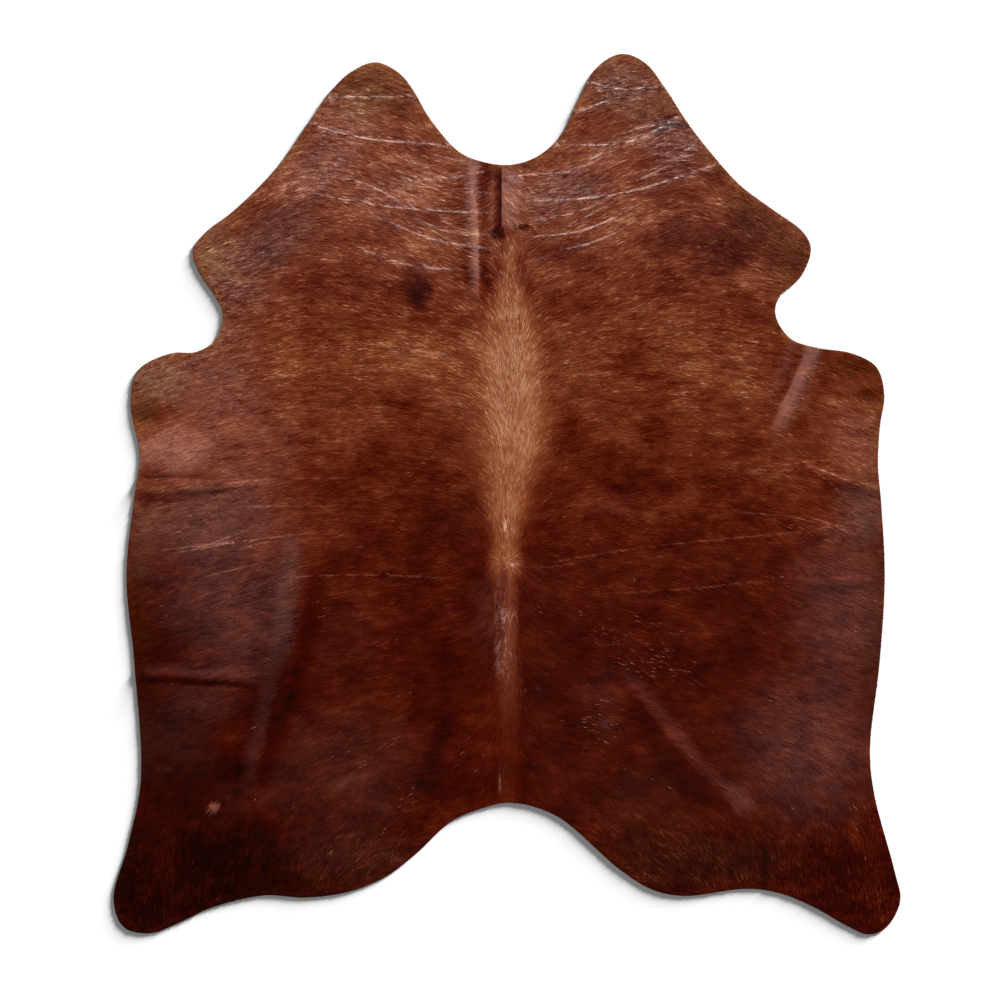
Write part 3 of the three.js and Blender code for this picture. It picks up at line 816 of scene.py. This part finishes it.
def through(points, steps, closed):
    """A smooth curve through points, with that many steps between each two."""
    if closed:
        padded = np.concatenate([points[-1:], points, points[:2]])
    else:
        padded = np.concatenate([2 * points[:1] - points[1:2], points, 2 * points[-1:] - points[-2:-1]])
    share = (np.arange(steps) / steps)[:, None]
    pieces = []
    for i in range(len(padded) - 3):
        a, b, c, d = padded[i : i + 4]
        square, cube = 2 * a - 5 * b + 4 * c - d, 3 * b - a - 3 * c + d
        pieces.append(0.5 * (2 * b + (c - a) * share + square * share**2 + cube * share**3))
    if not closed:
        pieces.append(points[-1:])
    return np.concatenate(pieces)


def spaced(chain, step):
    """An open chain of points, with even steps along it."""
    lengths = np.concatenate([[0], np.cumsum(np.linalg.norm(np.diff(chain, axis=0), axis=1))])
    count = max(2, int(math.ceil(lengths[-1] / step)))
    at = np.linspace(0, lengths[-1], count + 1)
    return np.stack([np.interp(at, lengths, chain[:, k]) for k in range(2)], axis=1)


def nearest_on(chain, points, closed=False):
    """For each point, how far off the chain is and how far along it, from 0 to 1."""
    ends = np.roll(chain, -1, axis=0) if closed else chain[1:]
    starts = chain if closed else chain[:-1]
    best = np.full(len(points), np.inf)
    along = np.zeros(len(points))
    for i, (a, b) in enumerate(zip(starts, ends)):
        side = b - a
        t = np.clip((points - a) @ side / (side @ side), 0, 1)
        off = np.linalg.norm(points - a - t[:, None] * side, axis=1)
        nearer = off < best
        best[nearer] = off[nearer]
        along[nearer] = (i + t[nearer]) / len(starts)
    return best, along


def all_creases():
    """The creases that the solid has too, and the finer wrinkles with their places in millimetres."""
    fine = []
    for name, *places, width, height in WRINKLES:
        fine.append((name, *([c / MM for c in to_metres(place)] for place in places), width, height))
    return CREASES + fine


def fold_chain(fold, step):
    """The crest of a fold as a chain of places."""
    points = np.array(fold[1:4], float) * MM
    return spaced(through(points, 12, False), step)


def fold_heights(folds, points):
    """The height of a set of folds over each point, how strongly a raised crest shows there, and how
    near a crest is."""
    height, crest, near = np.zeros((3, len(points)))
    for fold in folds:
        width, rise = fold[4:]
        distance, along = nearest_on(fold_chain(fold, 26 * MM), points)
        ends = smoothstep(np.minimum(along, 1 - along), 0, TAPER)
        offset = distance / (width / 2 * MM * (1 + FLARE * (1 - ends)))
        section = np.where(offset < 1, 0.5 + 0.5 * np.cos(np.pi * np.minimum(offset, 1)), 0)
        swell = 1 + SWELL * np.sin(SWELL_TURNS * along + width)
        height += rise * MM * section * ends * swell
        crest = np.maximum(crest, rise / 1.2 * section**4 * ends**0.5)
        share = np.clip(rise, 0, 1)
        near = np.maximum(near, np.exp(-((distance / (11 * MM)) ** 2)) * ends**0.5 * share)
    return height, crest, near


def lifted(points, rim_distance):
    """How high the waves lift the skin off the floor. They settle towards the cut edge."""
    share = WAVE_AT_RIM + (1 - WAVE_AT_RIM) * smoothstep(rim_distance, 0, WAVE_WHOLE)
    return fold_heights(WAVES, points)[0] * share


def spine_offset(points):
    """How far to the right of the line along the back each point lies."""
    places, offsets = np.array(SPINE).T * MM
    return points[:, 0] - np.interp(points[:, 1], places, offsets)


def parting(across):
    """The Y in millimetres at which the hair turns from forwards to backwards, so far off the spine."""
    return PARTING_Y + 110 * (1 - np.exp(-across / 120)) - 0.08 * across


def outward_angle(points):
    """The hair's angle above the way out from the spine: up towards the neck from the parting on the
    loin forwards, down towards the tail behind it, and down again beside the slit, in radians."""
    across = np.abs(spine_offset(points)) / MM
    up = points[:, 1] / MM
    turning = 60 - 30 * smoothstep(up, 380, 580)
    forward = np.minimum(88, 90 * np.exp(-((across / turning) ** 1.5)) + 14 - 0.04 * across)
    cheek = smoothstep(up, 330, 520) * (1 - smoothstep(up, 860, 960))
    forward += 16 * cheek * smoothstep(across, 60, 140) * (1 - smoothstep(across, 380, 520))
    forward -= 18 * smoothstep(up, 450, 700) * smoothstep(across, 300, 560)
    poll = smoothstep(up, 600, 640)
    forward += poll * (12 - 80 * np.exp(-across / 50) - forward) * (1 - smoothstep(across, 60, 240))
    steep = smoothstep(-up, 450, 950) * (0.4 + 0.6 * across / 850)
    backward = -np.minimum(88, 90 * np.exp(-((across / 55) ** 1.4)) + 8 + 0.014 * across + 60 * steep)
    forward_share = smoothstep((up - parting(across)) / (14 + 0.2 * across), -1, 1)
    return np.radians(forward * forward_share + backward * (1 - forward_share))


def hair_direction(points):
    """Which way the hair lies at each place, as vectors along the skin."""
    angle = outward_angle(points)
    side = np.where(spine_offset(points) > 0, 1.0, -1.0)
    return np.stack([side * np.cos(angle), np.sin(angle), np.zeros(len(points))], axis=1)


def flow_places(points):
    """Places in a space stretched along the hair, for a noise that runs in strands."""
    steps = np.linspace(0, 1.0, 501)
    offset = spine_offset(points)
    across = np.abs(offset)
    rises = []
    for y in (-0.4, 0.4, 0.72):
        line = np.stack([steps, np.full(501, y)], axis=1)
        line[:, 0] -= spine_offset(line[:1] * 0 + [[0, y]])
        slope = np.tan(np.clip(outward_angle(line), -1.3, 1.3))
        rise = np.concatenate([[0], np.cumsum((slope[1:] + slope[:-1]) / 2 * np.diff(steps))])
        rises.append(np.interp(across, steps, rise))
    forward = smoothstep(points[:, 1] - parting(across / MM) * MM, -0.05, 0.05)
    poll = smoothstep(points[:, 1], 0.6, 0.64)
    rise = rises[0] * (1 - forward) + rises[1] * forward * (1 - poll) + rises[2] * poll
    return np.stack([across * 40, (points[:, 1] - rise) * 420, np.sign(offset) * 9], axis=1)


def coat_marks(points):
    """The tone, painted sheen and olive of the coat at each place, from the tables of patches and bands."""
    drift = 9 * MM * np.sin(points[:, ::-1] * 47 + 2.5 * np.sin(points * 23 + 1.3))
    places = points + drift
    across = HIDE_CENTRE_PX[0] + places[:, 0] / PIXEL
    down = HIDE_CENTRE_PX[1] - places[:, 1] / PIXEL
    rows, back, left, right = np.array(BACK_TONES).T
    outwards = smoothstep(np.abs(across - 513), 130, 330)
    flank = np.where(across < 513, np.interp(down, rows, left), np.interp(down, rows, right))
    marks = np.zeros((3, len(points)))
    marks[0] = np.interp(down, rows, back) + outwards * flank
    for _, centre, half, turn, *added in PATCHES:
        turn = math.radians(turn)
        x, y = across - centre[0], centre[1] - down
        first = (x * math.cos(turn) + y * math.sin(turn)) / half[0]
        second = (y * math.cos(turn) - x * math.sin(turn)) / half[1]
        share = 1 - smoothstep(np.hypot(first, second), 0.2, 1.3)
        for kind, more in enumerate(added):
            marks[kind] += more * share
    for _, start, middle, end, width, *added in BANDS:
        band = np.array([to_metres(start), to_metres(middle), to_metres(end)])
        distance, along = nearest_on(spaced(through(band, 12, False), 20 * MM), points + drift * 0.15)
        ends = smoothstep(np.minimum(along, 1 - along), 0, 0.2)
        share = ends * (1 - smoothstep(distance / (width / 2 * PIXEL), 0.1, 1.1))
        for kind, more in enumerate(added):
            marks[kind] += more * share
    marks[2] = np.minimum(marks[2], 1)
    return marks


class PointField:
    """Places on the hide that keep their distance from each other."""

    def __init__(self, ring, gap):
        self.gap = gap
        self.cells = {}
        self.points = []
        self.add(ring)

    def add(self, points, gap=None):
        """Adds each point that is clear of those before it."""
        gap = gap or self.gap
        reach = int(math.ceil(gap / self.gap))
        for x, y in points:
            i, j = int(x // self.gap), int(y // self.gap)
            near = (
                self.points[k]
                for a in range(i - reach, i + reach + 1)
                for b in range(j - reach, j + reach + 1)
                for k in self.cells.get((a, b), ())
            )
            if all((x - u) ** 2 + (y - v) ** 2 > gap * gap for u, v in near):
                self.cells.setdefault((i, j), []).append(len(self.points))
                self.points.append((x, y))


def inside(ring, points):
    """Which points lie inside a closed ring."""
    result = np.zeros(len(points), bool)
    for a, b in zip(ring, np.roll(ring, -1, axis=0)):
        if a[1] != b[1]:
            crossing = a[0] + (points[:, 1] - a[1]) * (b[0] - a[0]) / (b[1] - a[1])
            result ^= ((a[1] > points[:, 1]) != (b[1] > points[:, 1])) & (points[:, 0] < crossing)
    return result


def hex_field(step):
    """Even places over the whole box of the hide."""
    low, high = CAD_BOX
    columns = np.arange(low.x, high.x, step)
    rows = []
    for j, y in enumerate(np.arange(low.y, high.y, step * math.sqrt(0.75))):
        rows.append(np.stack([columns + (j % 2) * step / 2, np.full(len(columns), y)], axis=1))
    return np.concatenate(rows)


def fold_rows(fold, step, rows):
    """Places along a fold's crest and beside it, given in half widths."""
    chain = fold_chain(fold, step)
    along = np.gradient(chain, axis=0)
    along /= np.linalg.norm(along, axis=1)[:, None]
    across = np.stack([-along[:, 1], along[:, 0]], axis=1) * fold[4] / 2 * MM
    return [chain + across * row for row in rows]


def ring_inside(ring, depth):
    """The ring moved inwards. It runs clockwise, so inside is to its right."""
    along = np.roll(ring, -1, axis=0) - np.roll(ring, 1, axis=0)
    along /= np.linalg.norm(along, axis=1)[:, None]
    return ring + np.stack([along[:, 1], -along[:, 0]], axis=1) * depth


def triangles_over(ring, points):
    """The triangles of a Delaunay mesh of points inside the ring, with the places that it made."""
    border = [(i, (i + 1) % len(ring)) for i in range(len(ring))]
    result = delaunay_2d_cdt([Vector(p) for p in points], border, [], 0, 1e-7, True)
    places = np.array([tuple(p) for p in result[0]])
    faces = np.array([tuple(f) for f in result[2]])
    faces = faces[inside(ring, places[faces].mean(axis=1))]
    at = {k: i for i, origin in enumerate(result[3]) for k in origin}
    return places, [tuple(f) for f in faces.tolist()], [at[k] for k, _ in border]


def hide_side(ring, rings, folds_and_rows, step):
    """One side of the hide, flat: its places, its triangles and where its rim lies among them."""
    field = PointField(ring, 1.3 * MM)
    rows = []
    for depth in rings:
        rows.append((ring_inside(ring, depth), 0.6 * depth))
    for folds, along, offsets in folds_and_rows:
        for fold in folds:
            rows += [(row, 1.3 * MM) for row in fold_rows(fold, along, offsets)]
    rows.append((hex_field(step), step * 0.55))
    deepest = max(rings)
    for k, (row, gap) in enumerate(rows):
        row = row[inside(ring, row)]
        if k >= len(rings):
            row = row[nearest_on(ring, row, closed=True)[0] > deepest + 1.5 * MM]
        field.add(row, max(gap, field.gap))
    return triangles_over(ring, field.points)


def add_attribute(mesh, name, kind, values):
    """Stores one value for each vertex of a mesh."""
    attribute = mesh.attributes.new(name, kind, "POINT")
    key = "vector" if kind == "FLOAT_VECTOR" else "value"
    attribute.data.foreach_set(key, np.asarray(values, np.float32).ravel())


def add_bake_map(mesh, places):
    """Gives each corner of the mesh the place on the baked picture that its vertex has."""
    corners = np.empty(len(mesh.loops), int)
    mesh.loops.foreach_get("vertex_index", corners)
    layer = mesh.uv_layers.new(name="OFBake")
    layer.data.foreach_set("uv", places[corners].astype(np.float32).ravel())


def new_piece(name, mesh, materials):
    """A shown object of that mesh."""
    piece = bpy.data.objects.new(name, mesh)
    bpy.context.scene.collection.objects.link(piece)
    for material in materials:
        mesh.materials.append(material)
    return piece


# Settings


class HideSettings(bpy.types.PropertyGroup):
    """Sizes of the skin."""

    leather_share: bpy.props.FloatProperty(
        name="Leather share", description="Leather's part of the thickness", default=0.66, subtype="FACTOR"
    )
    mesh_step: bpy.props.FloatProperty(
        name="Mesh step", description="Spacing of the coat side's vertices", default=13 * MM, unit="LENGTH"
    )
    edge_step: bpy.props.FloatProperty(
        name="Edge step", description="Spacing of the cut edge's vertices", default=7 * MM, unit="LENGTH"
    )


class CoatSettings(bpy.types.PropertyGroup):
    """Sizes of the lying hair."""

    locks: bpy.props.IntProperty(name="Locks", description="How many locks there are", default=148000)
    length: bpy.props.FloatProperty(
        name="Lock length", description="Length of a middling lock", default=17 * MM, unit="LENGTH"
    )
    width: bpy.props.FloatProperty(
        name="Lock width", description="Width of a lock at its middle", default=1.9 * MM, unit="LENGTH"
    )
    rise: bpy.props.FloatProperty(
        name="Tip height", description="How far a lock's tip rises", default=1.0 * MM, unit="LENGTH"
    )
    stray: bpy.props.FloatProperty(
        name="Stray", description="How far a lock may turn aside", default=math.radians(13), subtype="ANGLE"
    )
    seed: bpy.props.IntProperty(name="Seed", description="Seed of the coat's chances", default=11)


class StageSettings(bpy.types.PropertyGroup):
    """The floor, the lights and the camera."""

    lens: bpy.props.FloatProperty(name="Lens", description="Focal length in millimetres", default=100)
    floor_colour: bpy.props.FloatVectorProperty(
        name="Floor", description="Colour of the floor", default=(0.52, 0.52, 0.52), size=3, subtype="COLOR"
    )
    sky: bpy.props.FloatProperty(name="Sky", description="Even light from all round", default=0.36)
    key: bpy.props.FloatProperty(name="Key light", description="The rug's main light", default=2.9)
    fill: bpy.props.FloatProperty(name="Fill light", description="The rug's soft light", default=1.15)
    low: bpy.props.FloatProperty(name="Low light", description="The floor's grazing light", default=52.0)


# Pieces


def sheet_mesh(settings):
    """The skin as one closed thin sheet on the solid's folds."""
    cad_ring = cut_edge()
    fine = through(cad_ring, 4, True)
    ring = spaced(np.concatenate([fine, fine[:1]]), settings.edge_step)[:-1]
    half_width = CAD_BOX[1].x
    rings = [2.5 * MM, RIM_WIDTH, 14 * MM]
    creases = all_creases()
    wave_rows = [0, 0.2, -0.2, 0.4, -0.4, 0.6, -0.6, 0.8, -0.8, 1, -1]
    crease_rows = [0, 0.33, -0.33, 0.66, -0.66, 1, -1, 1.5, -1.5]
    top, top_faces, top_rim = hide_side(
        ring, rings, [(WAVES, 12 * MM, wave_rows), (creases, 9 * MM, crease_rows)], settings.mesh_step
    )
    base_rows = [0, 0.35, -0.35, 0.7, -0.7, 1, -1]
    base, base_faces, base_rim = hide_side(
        ring, [RIM_WIDTH], [(WAVES, 16 * MM, base_rows)], 2 * settings.mesh_step
    )

    rim_distance = nearest_on(ring, top, closed=True)[0]
    full = BACK_THICKNESS + (FLANK_THICKNESS - BACK_THICKNESS) * np.abs(top[:, 0]) / half_width
    inwards = np.minimum(rim_distance / RIM_WIDTH, 1)
    rounded = np.sqrt(1 - (1 - inwards) ** 2)
    leather = LEATHER_AT_RIM + (full * settings.leather_share - LEATHER_AT_RIM) * rounded
    creased, crest, near = fold_heights(creases, top)
    sunk = np.maximum(leather + creased * np.minimum(0.4 + inwards, 1), LEAST_LEATHER)
    top_z = lifted(top, rim_distance) + sunk
    base_z = lifted(base, nearest_on(ring, base, closed=True)[0])

    places = np.concatenate([np.column_stack([top, top_z]), np.column_stack([base, base_z])])
    faces = top_faces + [tuple(i + len(top) for i in f[::-1]) for f in base_faces]
    walls = []
    for i in range(len(ring)):
        j = (i + 1) % len(ring)
        walls.append((top_rim[i], top_rim[j], base_rim[j] + len(top), base_rim[i] + len(top)))
    mesh = bpy.data.meshes.new("hide_skin")
    mesh.from_pydata(places.tolist(), [], faces + walls)
    mesh.polygons.foreach_set("use_smooth", np.ones(len(mesh.polygons), bool))
    kinds = np.ones(len(mesh.polygons), np.int32)
    kinds[: len(top_faces)] = 0
    mesh.polygons.foreach_set("material_index", kinds)

    flat = places[:, :2]
    add_attribute(mesh, "rim_distance", "FLOAT", nearest_on(ring, flat, closed=True)[0])
    add_attribute(mesh, "crease", "FLOAT", np.concatenate([np.maximum(crest, 0), np.zeros(len(base))]))
    add_attribute(mesh, "crease_side", "FLOAT", np.concatenate([near, np.zeros(len(base))]))
    for name, values in zip(("tone", "painted_sheen", "olive"), coat_marks(flat)):
        add_attribute(mesh, name, "FLOAT", values)
    add_attribute(mesh, "spine_offset", "FLOAT", spine_offset(flat))
    add_attribute(mesh, "hair_flow", "FLOAT_VECTOR", flow_places(flat))
    add_attribute(mesh, "hair_way", "FLOAT_VECTOR", hair_direction(flat))
    side = mesh.attributes.new("coat_side", "FLOAT", "FACE")
    side.data.foreach_set("value", (kinds == 0).astype(np.float32))
    low = np.array(CAD_BOX[0])[:2]
    unit = (flat - low) / HIDE_LENGTH
    on_top = np.arange(len(places))[:, None] < len(top)
    add_bake_map(mesh, np.where(on_top, unit * 0.6 + 0.005, unit * 0.38 + 0.61))
    mesh.validate()
    return mesh


def coat_tree():
    """The node group that grows the locks of one stretch of the coat."""
    group = bpy.data.node_groups.new("coat_locks", "GeometryNodeTree")
    numbers = ("Density", "Length", "Width", "Tip height", "Stray", "From Y", "To Y")
    sockets = {"Skin": "Geometry", **dict.fromkeys(numbers, "Float"), "Seed": "Int", "Material": "Material"}
    for name, kind in sockets.items():
        group.interface.new_socket(name, in_out="INPUT", socket_type="NodeSocket" + kind)
    group.interface.new_socket("Coat", in_out="OUTPUT", socket_type="NodeSocketGeometry")
    tree = Tree(group)
    given = tree.node("NodeGroupInput").outputs

    def named(name, kind):
        node = tree.node("GeometryNodeInputNamedAttribute", {"Name": name}, data_type=kind)
        return node.outputs["Attribute"]

    def chance(low, high, seed):
        inputs = {2: low, 3: high, "Seed": Value(tree, given["Seed"]) + seed}
        return Value(tree, tree.node("FunctionNodeRandomValue", inputs, data_type="FLOAT").outputs[1])

    def stored(geometry, name, value, kind="FLOAT"):
        inputs = {"Geometry": geometry, "Name": name, "Value": value}
        return tree.node("GeometryNodeStoreNamedAttribute", inputs, data_type=kind).outputs[0]

    def position():
        return tree.node("GeometryNodeInputPosition").outputs[0]

    _, y, _ = tree.axes(position())
    coat_side = Value(tree, named("coat_side", "FLOAT"))
    here = coat_side.math("GREATER_THAN", 0.5) * y.math("GREATER_THAN", given["From Y"])
    here = here * y.math("LESS_THAN", given["To Y"])
    stretch = tree.node(
        "GeometryNodeSeparateGeometry", {"Geometry": given["Skin"], "Selection": here}, domain="FACE"
    )
    crest = Value(tree, named("crease", "FLOAT")).smooth(0.1, 0.9)
    density = (crest * 1.8 + 1) * given["Density"]
    rooted = tree.node(
        "GeometryNodeDistributePointsOnFaces",
        {"Mesh": stretch.outputs["Selection"], "Density": density, "Seed": given["Seed"]},
        distribute_method="RANDOM",
    )
    points = stored(rooted.outputs["Points"], "root", position(), "FLOAT_VECTOR")
    points = stored(points, "shade", chance(0.0, 1.0, 1))

    leaf = tree.node("GeometryNodeMeshUVSphere", {"Segments": 3, "Rings": 2, "Radius": 0.5}).outputs["Mesh"]
    lift, across, along = tree.axes(position())
    middle = 1 - abs(along) * 2
    shaped = tree.vector(along + 0.5 - middle * 0.12, across * -1, lift + middle * 0.45)
    leaf = tree.node("GeometryNodeSetPosition", {"Geometry": leaf, "Position": shaped}).outputs[0]
    along, across, _ = tree.axes(position())
    leaf = stored(stored(leaf, "along", along), "across", across)

    normal = rooted.outputs["Normal"]
    stray = chance(-1.0, 1.0, 2) * given["Stray"]
    strayed = tree.node(
        "ShaderNodeVectorRotate",
        {"Vector": named("hair_way", "FLOAT_VECTOR"), "Axis": (0, 0, 1), "Angle": stray},
        rotation_type="AXIS_ANGLE",
    )
    rise = Value(tree, given["Tip height"]) / given["Length"] * chance(0.6, 1.3, 3)
    lifted = tree.node("ShaderNodeVectorMath", {0: normal, "Scale": rise}, operation="SCALE")
    way = tree.node("ShaderNodeVectorMath", {0: strayed.outputs[0], 1: lifted.outputs[0]})
    turned = tree.node(
        "FunctionNodeAxesToRotation", {0: way.outputs[0], 1: normal}, primary_axis="X", secondary_axis="Z"
    )
    rim = Value(tree, named("rim_distance", "FLOAT"))
    shine = Value(tree, named("painted_sheen", "FLOAT")).smooth(0.9, 2.6)
    short = (rim.smooth(0.0, 0.04) * 0.86 + 0.14) * (1 - crest * 0.5) * (1 - shine * 0.5)
    length = chance(0.65, 1.35, 4) * given["Length"] * short
    width = chance(0.7, 1.3, 5) * given["Width"] * (1 - crest * 0.45)
    size = tree.vector(length, width, Value(tree, given["Width"]) * 0.4)
    grown = tree.node(
        "GeometryNodeInstanceOnPoints",
        {"Points": points, "Instance": leaf, "Rotation": turned.outputs[0], "Scale": size},
    )
    real = tree.node("GeometryNodeRealizeInstances", {"Geometry": grown.outputs[0]})
    inputs = {"Geometry": real.outputs[0], "Material": given["Material"]}
    coated = tree.node("GeometryNodeSetMaterial", inputs)
    tree.node("NodeGroupOutput", {"Coat": coated.outputs[0]})
    return group


class RUG_OT_hide(bpy.types.Operator):
    """Builds the skin: a thin closed sheet with its waves, creases and cut edge"""

    bl_idname = "rug.hide"
    bl_label = "Hide"

    def execute(self, context):
        mesh = sheet_mesh(context.scene.rug_hide)
        piece = new_piece("hide_skin", mesh, [skin_material(), flesh_material()])
        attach(piece, "root")
        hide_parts(NODE)
        return {"FINISHED"}


class RUG_OT_coat(bpy.types.Operator):
    """Grows the lying coat on the skin, one piece for each stretch of the back"""

    bl_idname = "rug.coat"
    bl_label = "Coat"

    # Each stretch of the coat and the Y in millimetres at which it ends, from the tail on
    STRETCHES = [("rump", -605), ("loin", -245), ("barrel", 110), ("shoulders", 470), ("neck", 1100)]

    def execute(self, context):
        settings = context.scene.rug_coat
        skin = bpy.data.objects["hide_skin"]
        area = sum(p.area for p in skin.data.polygons if p.material_index == 0)
        tree = coat_tree()
        material = lock_material()
        start = -1100
        for k, (name, end) in enumerate(self.STRETCHES):
            carrier = bpy.data.objects.new("carrier", skin.data)
            context.scene.collection.objects.link(carrier)
            grower = carrier.modifiers.new("Coat", "NODES")
            grower.node_group = tree
            inputs = {
                "Density": settings.locks / area,
                "Length": settings.length,
                "Width": settings.width,
                "Tip height": settings.rise,
                "Stray": settings.stray,
                "From Y": start * MM,
                "To Y": end * MM,
                "Seed": settings.seed + 10 * k,
                "Material": material,
            }
            for item in tree.interface.items_tree:
                if item.name in inputs and item.in_out == "INPUT":
                    grower[item.identifier] = inputs[item.name]
            shown = carrier.evaluated_get(context.evaluated_depsgraph_get())
            mesh = bpy.data.meshes.new_from_object(shown)
            bpy.data.objects.remove(carrier)
            mesh.name = "coat_" + name
            places = np.empty(len(mesh.vertices) * 3, np.float32)
            mesh.vertices.foreach_get("co", places)
            flat = places.reshape(-1, 3)[:, :2]
            low, high = flat.min(axis=0), flat.max(axis=0)
            add_bake_map(mesh, 0.004 + 0.992 * (flat - low) / (high - low))
            piece = new_piece("coat_" + name, mesh, [])
            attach(piece, "root")
            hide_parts(NODE)
            start = end
        return {"FINISHED"}


class RUG_OT_stage(bpy.types.Operator):
    """Lays the floor and sets the lights and the camera"""

    bl_idname = "rug.stage"
    bl_label = "Stage"

    def execute(self, context):
        settings = context.scene.rug_stage
        scene = context.scene
        half_side, below = 40, 0.2 * MM
        mesh = bpy.data.meshes.new("floor")
        corners = [(-1, -1), (1, -1), (1, 1), (-1, 1)]
        places = [(x * half_side, y * half_side, -below) for x, y in corners]
        mesh.from_pydata(places, [], [(0, 1, 2, 3)])
        material, _, shader = new_material("floor_paper")
        shader.inputs["Base Color"].default_value = (*settings.floor_colour, 1)
        shader.inputs["Roughness"].default_value = 0.9
        new_piece("floor", mesh, [material])

        scene.world = bpy.data.worlds.new("studio")
        scene.world.use_nodes = True
        sky = scene.world.node_tree.nodes["Background"]
        sky.inputs["Color"].default_value = (1, 1, 1, 1)
        sky.inputs["Strength"].default_value = settings.sky
        rug = bpy.data.collections.new("rug")
        ground = bpy.data.collections.new("ground")
        for piece in scene.objects:
            if piece.name == "floor":
                ground.objects.link(piece)
            elif piece.name.startswith(("hide_", "coat_")):
                rug.objects.link(piece)
        for name, lit, strength, azimuth, elevation, spread in (
            ("key", rug, settings.key, 56, 24, 12),
            ("fill", rug, settings.fill, 200, 70, 70),
            ("low", ground, settings.low, 45, 5.6, 10),
        ):
            light = bpy.data.objects.new(name, bpy.data.lights.new(name, "SUN"))
            light.light_linking.receiver_collection = lit
            light.data.energy = strength
            light.data.angle = math.radians(spread)
            turn, tilt = math.radians(azimuth), math.radians(elevation)
            level = math.cos(tilt)
            from_way = Vector((math.cos(turn) * level, math.sin(turn) * level, math.sin(tilt)))
            light.rotation_mode = "QUATERNION"
            light.rotation_quaternion = from_way.to_track_quat("Z", "Y")
            scene.collection.objects.link(light)

        lens = bpy.data.cameras.new("camera")
        lens.lens = settings.lens
        camera = bpy.data.objects.new("camera", lens)
        middle = to_metres((PHOTO_SIDE / 2, PHOTO_SIDE / 2))
        height = PHOTO_SIDE / 2 * PIXEL * lens.lens / (lens.sensor_width / 2)
        camera.location = (*middle, height)
        lens.clip_end = 100
        scene.collection.objects.link(camera)
        scene.camera = camera
        scene.view_settings.view_transform = "Standard"
        return {"FINISHED"}


class RUG_PT_panel(bpy.types.Panel):
    """The rug's steps and settings"""

    bl_label = "Cowhide rug"
    bl_idname = "RUG_PT_panel"
    bl_space_type = "VIEW_3D"
    bl_region_type = "UI"
    bl_category = "Rug"

    def draw(self, context):
        for operator, group in STEPS:
            box = self.layout.box()
            box.operator(operator.bl_idname)
            settings = getattr(context.scene, group)
            for name in settings.__annotations__:
                box.prop(settings, name)


GROUPS = {"rug_hide": HideSettings, "rug_coat": CoatSettings, "rug_stage": StageSettings}
STEPS = [(RUG_OT_hide, "rug_hide"), (RUG_OT_coat, "rug_coat"), (RUG_OT_stage, "rug_stage")]
CLASSES = [*GROUPS.values(), *(operator for operator, _ in STEPS), RUG_PT_panel]


def register():
    """Registers the classes and the settings on the scene."""
    for item in CLASSES:
        bpy.utils.register_class(item)
    for name, group in GROUPS.items():
        setattr(bpy.types.Scene, name, bpy.props.PointerProperty(type=group))


def unregister():
    """Removes what register added."""
    for name in GROUPS:
        delattr(bpy.types.Scene, name)
    for item in reversed(CLASSES):
        bpy.utils.unregister_class(item)


def main():
    """Builds the rug and its stage."""
    register()
    bpy.ops.rug.hide()
    bpy.ops.rug.coat()
    bpy.ops.rug.stage()


if __name__ == "__main__":
    main()
